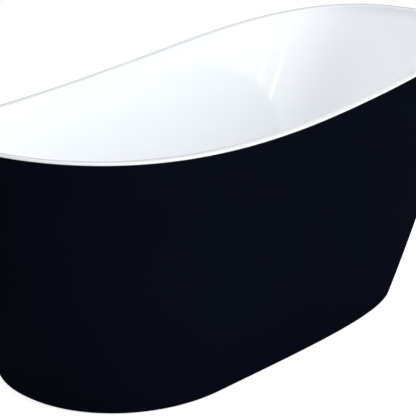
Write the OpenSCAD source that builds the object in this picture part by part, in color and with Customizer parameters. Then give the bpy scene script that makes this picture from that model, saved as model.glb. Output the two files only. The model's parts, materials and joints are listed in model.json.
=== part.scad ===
// Freestanding single-slipper bathtub: a white basin and a dark skirt bonded at the rim,
// a welded steel cradle on five levelling feet, a push-button waste and an overflow.
// Millimetres. +X points to the head end, +Z up. The origin is on the ground, midway
// between the ends and the sides of the rim.

/* [Rim] */
// Length over the rim
tub_length = 1700; // [1660:10:1740]
// Width over the rim at its widest
tub_width = 760; // [740:5:780]
// Distance of the widest place of the rim from the middle, towards the head
rim_widest_x = 70; // [50:5:90]
// Squareness of the rim at the foot end, where 2 is an ellipse
rim_foot_power = 2.45; // [2.3:0.05:2.6]
// Squareness of the rim at the head end
rim_head_power = 2.75; // [2.6:0.05:2.9]
// Height of the rim at the foot end
foot_height = 656; // [650:1:665]
// Height that the rim's curve is pulled towards after the foot end
dip_pull = 536; // [520:2:550]
// Height that the rim's curve is pulled towards before the head end
rise_pull = 696; // [680:2:710]
// Height of the rim at the head end
head_height = 714; // [705:1:725]
// Width of the rim's top face
rim_width = 24; // [22:1:26]
// Thickness of the rim, seen as a white lip over the skirt
lip_height = 5.5; // [5:0.5:7]

/* [Basin] */
// Thickness of the basin's wall
basin_wall = 6; // [5:0.5:7]
// Where the floor's foot edge lies
well_foot_x = -600; // [-610:5:-590]
// Where the floor's head edge lies
well_head_x = 470; // [450:5:480]
// Width between the floor's long edges
well_width = 500; // [490:5:510]
// Squareness of the floor's outline
well_power = 2.5; // [2.4:0.05:2.6]
// Height of the basin's flat underside
underside_height = 150; // [150:1:155]
// Thickness of the floor at the waste
floor_thickness = 10; // [9:0.5:12]
// Fall of the floor to the waste, in millimetres per metre
floor_fall = 10; // [5:1:12]

/* [Skirt] */
// Thickness of the skirt
skirt_wall = 5; // [4:0.5:5]
// Gap between the skirt and the ground
skirt_gap = 2; // [1:0.5:4]
// Where the skirt's foot end meets the ground
base_foot_x = -692; // [-696:1:-688]
// Where the skirt's head end meets the ground
base_head_x = 517; // [513:1:521]
// Width of the skirt at the ground
base_width = 620; // [616:2:626]
// Where the skirt is widest at the ground
base_widest_x = -363; // [-368:1:-358]
// Squareness of the skirt's foot end at the ground
base_foot_power = 2.1; // [2:0.05:2.2]
// Squareness of the skirt's head end at the ground
base_head_power = 3.8; // [3.7:0.05:3.9]
// Outward swelling of the skirt between the ground and the rim
wall_bow = 0.34; // [0.3:0.01:0.38]

/* [Cradle] */
// Side of the square steel tube
tube_size = 30; // [26:1:32]
// Thickness of the board under the floor
board_thickness = 15; // [12:1:18]
// Distance of each long rail from the middle
rail_y = 130; // [125:1:135]

/* [Feet] */
// Radius of the threaded stud
stud_r = 6; // [5:1:7]
// Length of the threaded stud
stud_length = 120; // [115:1:125]

/* [Waste and overflow] */
// Where the waste stands
waste_x = -400; // [-405:1:-395]
// Outer radius of the waste pipe
pipe_r = 20; // [19:1:21]
// Height of the overflow's middle
overflow_height = 500; // [490:1:505]
// Outer radius of the overflow pipe
hose_r = 12; // [11:0.5:13]

/* [Hidden] */
$fn = 48;
steps = 80;                      // points round each lofted ring
fit = 0.05;                      // radial clearance of a thread or a sliding pin
reveal = 0.5;                    // how far the lip stands proud of the skirt
bond = 0.5;                      // gap between the lip and the skirt, filled by the bead
bead_gap = 0.1;                  // space above and below the bead
clearance = 0.3;                 // gap left for adhesive

hex = 6;                         // sides of a nut
tube_wall = 2;                   // wall of the steel tubes
rail_top = underside_height - board_thickness;
bar_top = rail_top - tube_size;
bar_bottom = bar_top - tube_size;
rail_ends = [-565, 415];
bar_x = [-550, -50, 400];        // places of the cross bars

ring_width = 25;                 // width of the timber ring in the skirt
ring_bottom = 12;
ring_top = 24;
bracket_t = 3;
bracket_w = 20;
bracket_reach = 24;
bracket_hole = bracket_reach * 0.6; // distance of a bracket's screw from the bar's end

foot_inset = 36;                 // distance of a foot from the end of its bar
sole_t = 3;
pad_top = 16;
stud_bottom = 8;
nut_h = 10;

flat_share = 0.72;               // share of the floor's outline that is flat
curve_share = 0.35;              // share of the basin's wall that curves into the floor
recess_depth = 4;
recess_r = 40;
waste_hole_r = 26;
waste_z = underside_height + floor_thickness;
recess_z = waste_z - recess_depth;
branch_z = underside_height - 29; // height of the overflow's branch on the tee
chamber_r = 22;
chamber_wall = 4;
tail_r = 24;                     // thread of the waste flange
branch_end = 70;
branch_r = 15;
spigot_r = pipe_r - 0.5;         // reduced upper end of the waste pipe
shoulder_z = 54;                 // where the waste pipe is reduced

overflow_hole_r = 24;
overflow_tail_r = 22;
pad_proud = 2;                   // how far the overflow's flat stands out of the wall
pipe_depth = 26;                 // depth of the overflow pipe behind the basin's face
elbow_reach = 46;
bend_r = 100;

// ---- outlines ----

function oval(u, wide_x, foot, head, half, foot_n, head_n) =
    let (
        c = cos(u),
        s = sin(u),
        n = c < 0 ? foot_n : head_n,
        a = c < 0 ? foot : head
    )
    [wide_x + a * sign(c) * pow(abs(c), 2 / n), half * sign(s) * pow(abs(s), 2 / n)];

function angles() = [for (i = [0 : steps - 1]) i * 360 / steps];

function rim_height(x) =
    let (s = x / tub_length + 0.5, q = 1 - s)
    q * q * q * foot_height + 3 * s * q * q * dip_pull
    + 3 * s * s * q * rise_pull + s * s * s * head_height;

function rim_plan(u, inset) =
    oval(u, rim_widest_x, tub_length / 2 + rim_widest_x - inset,
         tub_length / 2 - rim_widest_x - inset, tub_width / 2 - inset,
         rim_foot_power, rim_head_power);

function rim_point(u, inset, drop) =
    let (p = rim_plan(u, inset))
    [p.x, p.y, rim_height(p.x) - drop];

function base_plan(u, inset) =
    oval(u, base_widest_x, base_widest_x - base_foot_x - inset,
         base_head_x - base_widest_x - inset, base_width / 2 - inset,
         base_foot_power, base_head_power);

// Half the width of the skirt at the ground, at one place along it
function base_half_width(x, inset) =
    let (
        foot_side = x < base_widest_x,
        n = foot_side ? base_foot_power : base_head_power,
        a = (foot_side ? base_widest_x - base_foot_x : base_head_x - base_widest_x) - inset
    )
    (base_width / 2 - inset) * pow(1 - pow(abs(x - base_widest_x) / a, n), 1 / n);

// Point on the skirt, at the share t of its height
function skirt_point(u, t, inset) =
    let (
        low = base_plan(u, inset),
        high = rim_plan(u, inset),
        p = low + (high - low) * (t + wall_bow * t * (1 - t)),
        top = rim_height(high.x) - lip_height - bond
    )
    [p.x, p.y, skirt_gap + t * (top - skirt_gap)];

well_middle = (well_foot_x + well_head_x) / 2;

function well_plan(u, grow) =
    let (half = (well_head_x - well_foot_x) / 2 + grow)
    oval(u, well_middle, half, half, well_width / 2 + grow, well_power, well_power);

function floor_height(x) = waste_z + floor_fall * (x - waste_x) / 1000;

// Point on a wall that runs straight from the rim, then curves into the floor
function wall_point(top, corner, flat, t) =
    let (bend = top + (corner - top) * (1 - curve_share))
    t <= 1 ? top + (bend - top) * t
    : let (q = t - 1) bend * (1 - q) * (1 - q) + corner * 2 * q * (1 - q) + flat * q * q;

// Point on the basin's face, and on its back
function face_point(u, t) =
    let (
        c = well_plan(u, 0),
        m = [well_middle, 0] + (c - [well_middle, 0]) * flat_share
    )
    wall_point(rim_point(u, rim_width, lip_height), [c.x, c.y, floor_height(c.x)],
               [m.x, m.y, floor_height(m.x)], t);

function back_point(u, t) =
    let (
        c = well_plan(u, basin_wall),
        m = [well_middle, 0] + (well_plan(u, 0) - [well_middle, 0]) * flat_share
    )
    wall_point(rim_point(u, rim_width - basin_wall - 1, lip_height),
               [c.x, c.y, underside_height], [m.x, m.y, underside_height], t);

// The basin's face at the foot end leans by this angle from upright
foot_top = rim_point(180, rim_width, lip_height);
lean = atan((well_foot_x - foot_top.x) / (foot_top.z - floor_height(well_foot_x)));
overflow_x = well_foot_x - (overflow_height - floor_height(well_foot_x)) * tan(lean);
tilt = 90 - lean;
bend_reach = bend_r * tan(tilt / 2);
corner_run = (overflow_height - pipe_depth * sin(lean) - branch_z) / cos(lean);
corner_x = overflow_x - pipe_depth * cos(lean) + corner_run * sin(lean);

function bar_end(x) =
    base_half_width(x, reveal + skirt_wall + clearance + ring_width / 2) - bracket_hole;

foot_places = [
    [bar_x[0], bar_end(bar_x[0]) - foot_inset],
    [bar_x[0], foot_inset - bar_end(bar_x[0])],
    [bar_x[2], bar_end(bar_x[2]) - foot_inset],
    [bar_x[2], foot_inset - bar_end(bar_x[2])],
    [bar_x[1], 0]
];

screw_x = [-280, -140, 60, 260]; // places of the screws along each rail

// Route of the overflow pipe as [x, z, heading], down behind the basin and then level
pipe_start = 31;
bend_steps = 14;
hose_path = concat(
    [[
        overflow_x + pipe_start * sin(lean) - pipe_depth * cos(lean),
        overflow_height - pipe_start * cos(lean) - pipe_depth * sin(lean), -tilt
    ]],
    [
        for (k = [0 : bend_steps])
            let (a = tilt * (k / bend_steps - 1))
            [corner_x + bend_reach + bend_r * sin(a), branch_z + bend_r * (1 - cos(a)), a]
    ],
    [[waste_x - branch_end + 22, branch_z, 0]]
);

function hose_ring(p, r) =
    [for (a = [0 : 15 : 345]) [p[0] - r * sin(a) * sin(p[2]), r * cos(a), p[1] + r * sin(a) * cos(p[2])]];

// ---- shared shapes ----

// Solid through a list of rings; the rings close on each other, or the ends are capped
module loft(rings, looped) {
    n = len(rings[0]);
    m = len(rings);
    last = looped ? m - 1 : m - 2;
    sides = [
        for (j = [0 : last], i = [0 : n - 1])
            let (a = j * n, b = ((j + 1) % m) * n, k = (i + 1) % n)
            each [[a + i, b + i, b + k], [a + i, b + k, a + k]]
    ];
    caps = looped ? [] : [
        [for (i = [0 : n - 1]) i],
        [for (i = [n - 1 : -1 : 0]) (m - 1) * n + i]
    ];
    polyhedron(points = [for (r = rings) each r], faces = concat(sides, caps));
}

module ring(outer, inner, height) {
    difference() {
        cylinder(r = outer, h = height);
        translate([0, 0, -1]) cylinder(r = inner, h = height + 2);
    }
}

module hex_nut(across, bore, height) {
    difference() {
        cylinder(r = across, h = height, $fn = hex);
        translate([0, 0, -1]) cylinder(r = bore, h = height + 2);
    }
}

// Square tube that runs along X from 0
module square_tube(length) {
    inner = tube_size - 2 * tube_wall;
    difference() {
        translate([0, -tube_size / 2, 0]) cube([length, tube_size, tube_size]);
        translate([-1, -inner / 2, tube_wall]) cube([length + 2, inner, inner]);
    }
}

// Places its children at both ends of every cross bar, with +X pointing outwards
module at_bar_ends() {
    for (x = bar_x, side = [-1, 1])
        translate([x, side * bar_end(x), 0]) rotate([0, 0, side * 90]) children();
}

module at_overflow() {
    translate([overflow_x, 0, overflow_height]) rotate([0, tilt, 0]) children();
}

// ---- basin and skirt ----

module inner_tub() {
    wall_steps = [0, 0.5, 1, 1.2, 1.4, 1.6, 1.8, 2];
    rim_profile = [
        [0, lip_height], [0, 2.5], [0.8, 0.8], [2.5, 0], [rim_width / 2, 0],
        [rim_width - 6, 0.4], [rim_width - 2, 2]
    ];
    back = [for (i = [len(wall_steps) - 1 : -1 : 0]) [for (u = angles()) back_point(u, wall_steps[i])]];
    rim = [for (p = rim_profile) [for (u = angles()) rim_point(u, p[0], p[1])]];
    face = [for (t = wall_steps) [for (u = angles()) face_point(u, t)]];
    color([0.96, 0.97, 0.98]) difference() {
        union() {
            loft(concat(back, rim, face), false);
            at_overflow() translate([0, 0, -basin_wall - pad_proud])
                cylinder(r = 34, h = basin_wall + 2 * pad_proud);
        }
        translate([waste_x, 0, recess_z]) cylinder(r = recess_r, h = 30);
        translate([waste_x, 0, underside_height - 10]) cylinder(r = waste_hole_r, h = 30);
        at_overflow() translate([0, 0, -30]) cylinder(r = overflow_hole_r, h = 60);
    }
}

module outer_shell() {
    levels = [for (i = [0 : 6]) i / 6];
    outside = [for (t = levels) [for (u = angles()) skirt_point(u, t, reveal)]];
    inside = [for (i = [6 : -1 : 0]) [for (u = angles()) skirt_point(u, levels[i], reveal + skirt_wall)]];
    color([0.01, 0.015, 0.03]) loft(concat(inside, outside), true);
}

module rim_adhesive() {
    inner = reveal + skirt_wall;
    high = lip_height + bead_gap;
    low = lip_height + bond - bead_gap;
    edges = [[reveal, high], [inner, high], [inner, low], [reveal, low]];
    color([0.85, 0.86, 0.84]) loft([for (e = edges) [for (u = angles()) rim_point(u, e[0], e[1])]], true);
}

// ---- board and cradle ----

module base_board() {
    board_start = -330;
    color([0.78, 0.62, 0.42]) translate([0, 0, rail_top]) linear_extrude(board_thickness)
        intersection() {
            polygon([
                for (u = angles())
                    let (c = well_plan(u, 0)) [well_middle, 0] + (c - [well_middle, 0]) * (flat_share - 0.02)
            ]);
            translate([board_start, -tub_width / 2]) square([tub_length / 2, tub_width]);
        }
}

module packing_blocks() {
    block = [40, 26];
    color([0.72, 0.55, 0.35]) for (side = [-1, 1])
        translate([-398, side * rail_y - block.y / 2, rail_top]) cube([block.x, block.y, board_thickness]);
}

module frame_rails() {
    color([0.62, 0.64, 0.66]) for (side = [-1, 1])
        difference() {
            translate([rail_ends[0], side * rail_y, bar_top]) square_tube(rail_ends[1] - rail_ends[0]);
            for (x = screw_x)
                translate([x, side * rail_y, bar_top - 1]) cylinder(r = 2.6, h = tube_size + 2);
        }
}

module frame_cross_bars() {
    color([0.62, 0.64, 0.66]) for (x = bar_x)
        difference() {
            translate([x, -bar_end(x) + bracket_t, bar_bottom])
                rotate([0, 0, 90]) square_tube(2 * bar_end(x) - 2 * bracket_t);
            for (p = foot_places)
                translate([p.x, p.y, bar_bottom - 1]) cylinder(r = stud_r + 1, h = tube_size + 2);
        }
}

module bar_end_plates() {
    color([0.62, 0.64, 0.66]) at_bar_ends() translate([-bracket_t, 0, bar_bottom])
        difference() {
            translate([0, -tube_size / 2, 0]) cube([bracket_t, tube_size, tube_size]);
            translate([-1, 0, tube_size / 2]) rotate([0, 90, 0]) cylinder(r = 3 + fit, h = bracket_t + 2);
        }
}

module rail_end_caps() {
    plug = tube_size - 2 * tube_wall - 0.2;
    color([0.1, 0.1, 0.1]) for (side = [-1, 1], end = [0, 1])
        translate([rail_ends[end], side * rail_y, bar_top + tube_size / 2]) rotate([0, 0, 180 * end]) {
            translate([-3, -tube_size / 2, -tube_size / 2]) cube([3, tube_size, tube_size]);
            translate([0, -plug / 2, -plug / 2]) cube([12, plug, plug]);
        }
}

module frame_screws() {
    color([0.75, 0.72, 0.55]) for (side = [-1, 1], x = screw_x)
        translate([x, side * rail_y, bar_top]) {
            translate([0, 0, -3]) cylinder(r1 = 3.5, r2 = 5, h = 3);
            cylinder(r = 2.4, h = tube_size + board_thickness - 4);
        }
}

module foot_weld_nuts() {
    color([0.7, 0.71, 0.72]) for (p = foot_places)
        translate([p.x, p.y, bar_top]) hex_nut(11, stud_r + fit, nut_h);
}

module foot_lock_nuts() {
    color([0.7, 0.71, 0.72]) for (p = foot_places)
        translate([p.x, p.y, bar_bottom - nut_h]) hex_nut(11, stud_r + fit, nut_h);
}

// ---- timber ring and brackets that hold the skirt ----

module shell_base_ring() {
    start = reveal + skirt_wall + clearance;
    color([0.72, 0.55, 0.35]) translate([0, 0, ring_bottom]) linear_extrude(ring_top - ring_bottom)
        difference() {
            polygon([for (u = angles()) base_plan(u, start)]);
            polygon([for (u = angles()) base_plan(u, start + ring_width)]);
        }
}

module shell_brackets() {
    color([0.68, 0.7, 0.72]) at_bar_ends() difference() {
        union() {
            translate([0, -bracket_w / 2, ring_top]) cube([bracket_t, bracket_w, bar_top - ring_top]);
            translate([0, -bracket_w / 2, ring_top]) cube([bracket_reach, bracket_w, bracket_t]);
        }
        translate([-1, 0, bar_top - tube_size / 2]) rotate([0, 90, 0]) cylinder(r = 3.2, h = bracket_t + 2);
        translate([bracket_hole, 0, ring_top - 1]) cylinder(r = 2.6, h = bracket_t + 2);
    }
}

module bracket_bolts() {
    color([0.75, 0.76, 0.78]) at_bar_ends() translate([0, 0, bar_top - tube_size / 2]) rotate([0, 90, 0]) {
        translate([0, 0, bracket_t]) cylinder(r = 5.8, h = 4, $fn = hex);
        translate([0, 0, -12]) cylinder(r = 3, h = 12 + bracket_t);
    }
}

module bracket_screws() {
    color([0.75, 0.72, 0.55]) at_bar_ends() translate([bracket_hole, 0, ring_top + bracket_t]) {
        cylinder(r1 = 5, r2 = 3.5, h = 3);
        translate([0, 0, -13]) cylinder(r = 2.4, h = 13);
    }
}

// ---- levelling feet ----

module foot_stud(i) {
    color([0.75, 0.76, 0.78]) translate([foot_places[i].x, foot_places[i].y, 0]) {
        translate([0, 0, stud_bottom]) cylinder(r = stud_r, h = stud_length);
        translate([0, 0, pad_top + clearance]) cylinder(r = 10, h = 8, $fn = hex);
    }
}

module foot_pad(i) {
    color([0.08, 0.08, 0.08]) translate([foot_places[i].x, foot_places[i].y, 0]) difference() {
        rotate_extrude() polygon([[0, sole_t], [26, sole_t], [26, 6], [13, 12], [12, pad_top], [0, pad_top]]);
        translate([0, 0, stud_bottom]) cylinder(r = stud_r + fit, h = pad_top);
    }
}

module foot_sole(i) {
    color([0.05, 0.05, 0.05]) translate([foot_places[i].x, foot_places[i].y, 0])
        rotate_extrude() polygon([[0, 0], [23, 0], [24, 1], [24, sole_t], [0, sole_t]]);
}

// ---- waste ----

module at_waste() {
    translate([waste_x, 0, 0]) children();
}

module waste_flange() {
    hub_r = 8;
    hub_z = underside_height - 9;
    color([0.85, 0.87, 0.9]) at_waste() {
        rotate_extrude() polygon([
            [tail_r - 3.5, underside_height - 13], [tail_r, underside_height - 13],
            [tail_r, recess_z + 1.5], [35, recess_z + 1.5], [35, waste_z - 1], [34, waste_z],
            [waste_hole_r, waste_z], [tail_r - 3.5, waste_z - 3]
        ]);
        difference() {
            union() {
                translate([0, 0, hub_z]) cylinder(r = hub_r, h = 10);
                for (a = [0, 90])
                    rotate([0, 0, a]) translate([-tail_r + 2, -1.5, hub_z + 3]) cube([2 * tail_r - 4, 3, 5]);
            }
            translate([0, 0, hub_z - 1]) cylinder(r = 5 + fit, h = 12);
        }
    }
}

module waste_top_gasket() {
    color([0.1, 0.1, 0.1]) at_waste() translate([0, 0, recess_z]) ring(34, tail_r + 0.5, 1.5);
}

module waste_bottom_gasket() {
    color([0.1, 0.1, 0.1]) at_waste() translate([0, 0, underside_height - 3]) ring(36, tail_r + 0.5, 3);
}

module click_cartridge() {
    color([0.8, 0.66, 0.35]) at_waste() translate([0, 0, underside_height - 22]) difference() {
        union() {
            cylinder(r = 5, h = 24);
            translate([0, 0, 23]) cylinder(r = 7, h = 3);
        }
        translate([0, 0, -1]) cylinder(r = 3 + fit, h = 30);
    }
}

module plug_stem() {
    color([0.85, 0.87, 0.9]) at_waste() translate([0, 0, underside_height - 28])
        cylinder(r = 3, h = waste_z - 1.5 - (underside_height - 28));
}

module plug_cap() {
    dome_r = 32;
    dome_h = 5;
    dome = [for (a = [0 : 10 : 90]) [dome_r * cos(a), waste_z + 2 + (dome_h - 1) * sin(a)]];
    color([0.85, 0.87, 0.9]) at_waste() rotate_extrude() polygon(concat(
        [[0, waste_z - 1.5], [10, waste_z - 1.5], [10, waste_z + 1], [dome_r - 0.5, waste_z + 1]],
        dome
    ));
}

module plug_seal() {
    color([0.1, 0.1, 0.1]) at_waste() rotate_extrude() polygon([
        [10, waste_z - 1.5], [22.5, waste_z - 1.5], [25.3, waste_z + 0.1], [25.3, waste_z + 1], [10, waste_z + 1]
    ]);
}

module waste_tee() {
    top = underside_height - 3;
    color([0.93, 0.93, 0.92]) at_waste() difference() {
        union() {
            rotate_extrude() polygon([
                [0, top], [36, top], [36, top - 4], [29, top - 4], [29, top - 12],
                [chamber_r + chamber_wall, top - 14], [chamber_r + chamber_wall, 90],
                [tail_r + 0.5, 82], [tail_r + 0.5, 64], [0, 64]
            ]);
            translate([0, 0, branch_z]) rotate([0, -90, 0]) cylinder(r = branch_r, h = branch_end);
        }
        rotate_extrude() polygon([
            [0, 63], [spigot_r + fit, 63], [spigot_r + fit, 80], [17.5, 80], [17.5, 82], [chamber_r, 92],
            [chamber_r, top - 10], [tail_r + fit, top - 10], [tail_r + fit, top + 1], [0, top + 1]
        ]);
        translate([0, 0, branch_z]) rotate([0, -90, 0]) cylinder(r = hose_r - 2, h = branch_end + 1);
        translate([-branch_end - 1, 0, branch_z]) rotate([0, 90, 0]) cylinder(r = hose_r + fit, h = 24);
    }
}

module outlet_nut() {
    color([0.93, 0.93, 0.92]) at_waste() translate([0, 0, 56]) difference() {
        hex_nut(31, spigot_r + clearance, 18);
        translate([0, 0, 6]) cylinder(r = tail_r + 0.5 + fit, h = 20);
    }
}

module outlet_tail() {
    bore = pipe_r - 2.4;
    color([0.93, 0.93, 0.92]) at_waste() rotate_extrude() polygon([
        [bore, 20], [pipe_r, 20], [pipe_r, shoulder_z], [spigot_r, shoulder_z], [spigot_r, 79], [bore, 79]
    ]);
}

// ---- overflow ----

module overflow_trim() {
    color([0.85, 0.87, 0.9]) at_overflow() difference() {
        union() {
            translate([0, 0, pad_proud]) cylinder(r = 32, h = 3);
            translate([0, 0, -24]) cylinder(r = overflow_tail_r, h = 27);
        }
        translate([0, 0, -25]) cylinder(r = overflow_tail_r - 4, h = 25);
        hull() for (side = [-1, 1]) translate([4, side * 13, -5]) cylinder(r = 4, h = 12);
    }
}

module overflow_gasket() {
    color([0.1, 0.1, 0.1]) at_overflow() translate([0, 0, -basin_wall - pad_proud - 2])
        ring(32, overflow_hole_r + 0.5, 2);
}

module overflow_elbow() {
    front = -basin_wall - pad_proud - 2;
    color([0.93, 0.93, 0.92]) at_overflow() difference() {
        union() {
            translate([0, 0, front - 3]) cylinder(r = 32, h = 3);
            translate([0, 0, -40]) cylinder(r = 27, h = 40 + front);
            translate([0, 0, -pipe_depth]) rotate([0, 90, 0]) cylinder(r = branch_r, h = elbow_reach);
        }
        translate([0, 0, -37]) cylinder(r = overflow_tail_r + fit, h = 40);
        translate([0, 0, -pipe_depth]) rotate([0, 90, 0]) cylinder(r = hose_r - 2, h = elbow_reach + 1);
        translate([30, 0, -pipe_depth]) rotate([0, 90, 0]) cylinder(r = hose_r + fit, h = elbow_reach);
    }
}

module overflow_pipe() {
    inner = [for (k = [len(hose_path) - 1 : -1 : 0]) hose_ring(hose_path[k], hose_r - 2)];
    outer = [for (p = hose_path) hose_ring(p, hose_r)];
    color([0.9, 0.9, 0.89]) loft(concat(outer, inner), true);
}

// Compression nut, with the pipe leaving at its own origin
module hose_nut() {
    difference() {
        hex_nut(19, hose_r + clearance, 16);
        translate([0, 0, 5]) cylinder(r = branch_r + fit, h = 20);
    }
}

module overflow_pipe_nuts() {
    color([0.93, 0.93, 0.92]) {
        at_overflow() translate([elbow_reach + 5, 0, -pipe_depth]) rotate([0, -90, 0]) hose_nut();
        translate([waste_x - branch_end - 5, 0, branch_z]) rotate([0, 90, 0]) hose_nut();
    }
}

inner_tub();
outer_shell();
rim_adhesive();
base_board();
packing_blocks();
frame_rails();
frame_cross_bars();
bar_end_plates();
rail_end_caps();
frame_screws();
foot_weld_nuts();
foot_lock_nuts();
shell_base_ring();
shell_brackets();
bracket_bolts();
bracket_screws();
for (i = [0 : 4]) foot_stud(i);
for (i = [0 : 4]) foot_pad(i);
for (i = [0 : 4]) foot_sole(i);
waste_flange();
waste_top_gasket();
waste_bottom_gasket();
click_cartridge();
plug_stem();
plug_cap();
plug_seal();
waste_tee();
outlet_nut();
outlet_tail();
overflow_trim();
overflow_gasket();
overflow_elbow();
overflow_pipe();
overflow_pipe_nuts();
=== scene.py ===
"""Looks of a freestanding slipper bathtub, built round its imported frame. Lengths are in metres."""

import json
import math

import bmesh
import bpy
import numpy as np
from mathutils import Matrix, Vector

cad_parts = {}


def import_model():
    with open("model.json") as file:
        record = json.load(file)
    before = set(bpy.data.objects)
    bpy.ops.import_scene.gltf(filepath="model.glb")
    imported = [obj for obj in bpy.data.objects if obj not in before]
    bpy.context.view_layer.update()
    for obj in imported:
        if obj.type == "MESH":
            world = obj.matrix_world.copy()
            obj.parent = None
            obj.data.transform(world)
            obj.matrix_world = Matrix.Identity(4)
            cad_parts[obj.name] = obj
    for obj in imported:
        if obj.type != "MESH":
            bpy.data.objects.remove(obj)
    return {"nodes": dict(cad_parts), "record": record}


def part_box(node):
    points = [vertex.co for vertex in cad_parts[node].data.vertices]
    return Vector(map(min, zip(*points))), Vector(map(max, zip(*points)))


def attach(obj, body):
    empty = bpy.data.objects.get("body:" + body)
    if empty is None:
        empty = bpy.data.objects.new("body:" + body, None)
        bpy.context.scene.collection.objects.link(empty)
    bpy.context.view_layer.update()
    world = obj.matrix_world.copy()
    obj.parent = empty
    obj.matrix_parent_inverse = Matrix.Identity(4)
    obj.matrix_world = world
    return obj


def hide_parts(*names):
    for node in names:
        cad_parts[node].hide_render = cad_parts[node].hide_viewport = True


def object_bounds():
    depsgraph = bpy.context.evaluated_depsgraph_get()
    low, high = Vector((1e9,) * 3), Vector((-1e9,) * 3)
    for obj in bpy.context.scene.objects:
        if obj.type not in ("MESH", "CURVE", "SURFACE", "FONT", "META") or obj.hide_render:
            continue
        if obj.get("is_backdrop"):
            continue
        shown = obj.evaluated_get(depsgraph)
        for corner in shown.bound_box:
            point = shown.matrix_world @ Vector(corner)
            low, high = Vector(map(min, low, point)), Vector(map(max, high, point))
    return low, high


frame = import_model()
cad_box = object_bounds()

# ---- driving sizes of the shells, as in the CAD ----
RIM_WIDEST_X = 0.070
RIM_POWERS = (2.45, 2.75)                     # squareness of the foot end and of the head end
RIM_HEIGHTS = (0.656, 0.536, 0.696, 0.714)    # Bezier heights from the foot to the head
RIM_WIDTH = 0.024
LIP = 0.0055
BOND = 0.0005                                 # gap between the lip and the skirt
REVEAL = 0.0005                               # how far the lip stands proud of the skirt
BASIN_WALL = 0.006
WELL_ENDS = (-0.600, 0.470)
WELL_WIDTH = 0.500
WELL_POWERS = (2.5, 2.5)
FLOOR_FALL = 0.010                            # per metre, towards the waste
FLAT_SHARE = 0.72
CURVE_SHARE = 0.35
RECESS_R = 0.040
WASTE_HOLE_R = 0.026
SKIRT_WALL = 0.005
BASE_ENDS = (-0.692, 0.517)
BASE_WIDEST_X = -0.363
BASE_WIDTH = 0.620
BASE_POWERS = (2.1, 3.8)
WALL_BOW = 0.34
OVERFLOW_Z = 0.500
OVERFLOW_HOLE_R = 0.024
OVERFLOW_FLAT_R = 0.034
OVERFLOW_PROUD = 0.002
BOARD_START = -0.330
SCREW_X = (-0.280, -0.140, 0.060, 0.260)
BEND_R = 0.100
PIPE_DEPTH = 0.026                            # depth of the overflow pipe behind the basin's face
ELBOW_REACH = 0.046
BRANCH_END = 0.070
BRANCH_R = 0.015
THREAD_PITCH = 0.00175
THREAD_DEPTH = 0.61                           # share of the pitch
END_PLATE = 0.003                             # thickness of the plates on the cross bars' ends
BRACKET = 0.003                               # thickness of the skirt's brackets

# ---- sizes and places read from the frame ----
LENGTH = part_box("inner_tub")[1].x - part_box("inner_tub")[0].x
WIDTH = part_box("inner_tub")[1].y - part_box("inner_tub")[0].y
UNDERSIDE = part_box("base_board")[1].z
WASTE_X = sum(corner.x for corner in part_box("waste_flange")) / 2
WASTE_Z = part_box("waste_flange")[1].z
AT_WASTE = (WASTE_X, 0, 0)
PIPE_Z = UNDERSIDE - 0.029                    # height of the overflow pipe's level stretch
RECESS_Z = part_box("waste_top_gasket")[0].z
SKIRT_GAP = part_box("outer_shell")[0].z
RAIL_LOW, RAIL_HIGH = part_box("frame_rails")
TUBE = RAIL_HIGH.z - RAIL_LOW.z
RAIL_Y = RAIL_HIGH.y - TUBE / 2
BAR_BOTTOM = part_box("frame_cross_bars")[0].z
BAR_TOP = RAIL_LOW.z
FEET = [sum(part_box(f"foot_pad_{i}"), Vector()) / 2 for i in range(1, 6)]
BAR_X = sorted({round(foot.x, 4) for foot in FEET})

AROUND = 400                                  # points round each shell ring
WELL_X = sum(WELL_ENDS) / 2


# ---- shape of the shells ----

def oval(u, wide_x, foot, head, half, powers):
    """Plan outline of two half superellipses that meet where it is widest."""
    c, s = np.cos(u), np.sin(u)
    power = 2 / np.where(c < 0, powers[0], powers[1])
    reach = np.where(c < 0, foot, head)
    x = wide_x + reach * np.sign(c) * np.abs(c) ** power
    return np.stack([x, half * np.sign(s) * np.abs(s) ** power], axis=1)


def circle(radius, turn):
    """Points round the origin at these angles."""
    return np.column_stack([radius * np.cos(turn), radius * np.sin(turn)])


def raised(plan, z):
    """The outline at one height, or at a height for each point."""
    return np.column_stack([plan, np.broadcast_to(z, len(plan))])


def rim_height(x):
    """Height of the rim's top at x, on a Bezier curve."""
    s = x / LENGTH + 0.5
    q = 1 - s
    a, b, c, d = RIM_HEIGHTS
    return q ** 3 * a + 3 * s * q * q * b + 3 * s * s * q * c + s ** 3 * d


def rim_plan(u, inset):
    return oval(u, RIM_WIDEST_X, LENGTH / 2 + RIM_WIDEST_X - inset, LENGTH / 2 - RIM_WIDEST_X - inset,
                WIDTH / 2 - inset, RIM_POWERS)


def rim_points(u, inset, drop):
    """Ring that runs inside the rim's outline and below its top."""
    plan = rim_plan(u, inset)
    return raised(plan, rim_height(plan[:, 0]) - drop)


def base_plan(u, inset):
    return oval(u, BASE_WIDEST_X, BASE_WIDEST_X - BASE_ENDS[0] - inset, BASE_ENDS[1] - BASE_WIDEST_X - inset,
                BASE_WIDTH / 2 - inset, BASE_POWERS)


def skirt_points(u, share, inset):
    """Ring round the skirt at this share of its height."""
    low, high = base_plan(u, inset), rim_plan(u, inset)
    plan = low + (high - low) * (share + WALL_BOW * share * (1 - share))
    top = rim_height(high[:, 0]) - LIP - BOND
    return raised(plan, SKIRT_GAP + share * (top - SKIRT_GAP))


def well_plan(u, grow):
    """Outline where the basin's walls, run on, would meet its floor."""
    half = (WELL_ENDS[1] - WELL_ENDS[0]) / 2 + grow
    return oval(u, WELL_X, half, half, WELL_WIDTH / 2 + grow, WELL_POWERS)


def flat_plan(u, share=FLAT_SHARE):
    """Outline of the floor's flat part."""
    middle = np.array([WELL_X, 0])
    return middle + (well_plan(u, 0) - middle) * share


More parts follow.
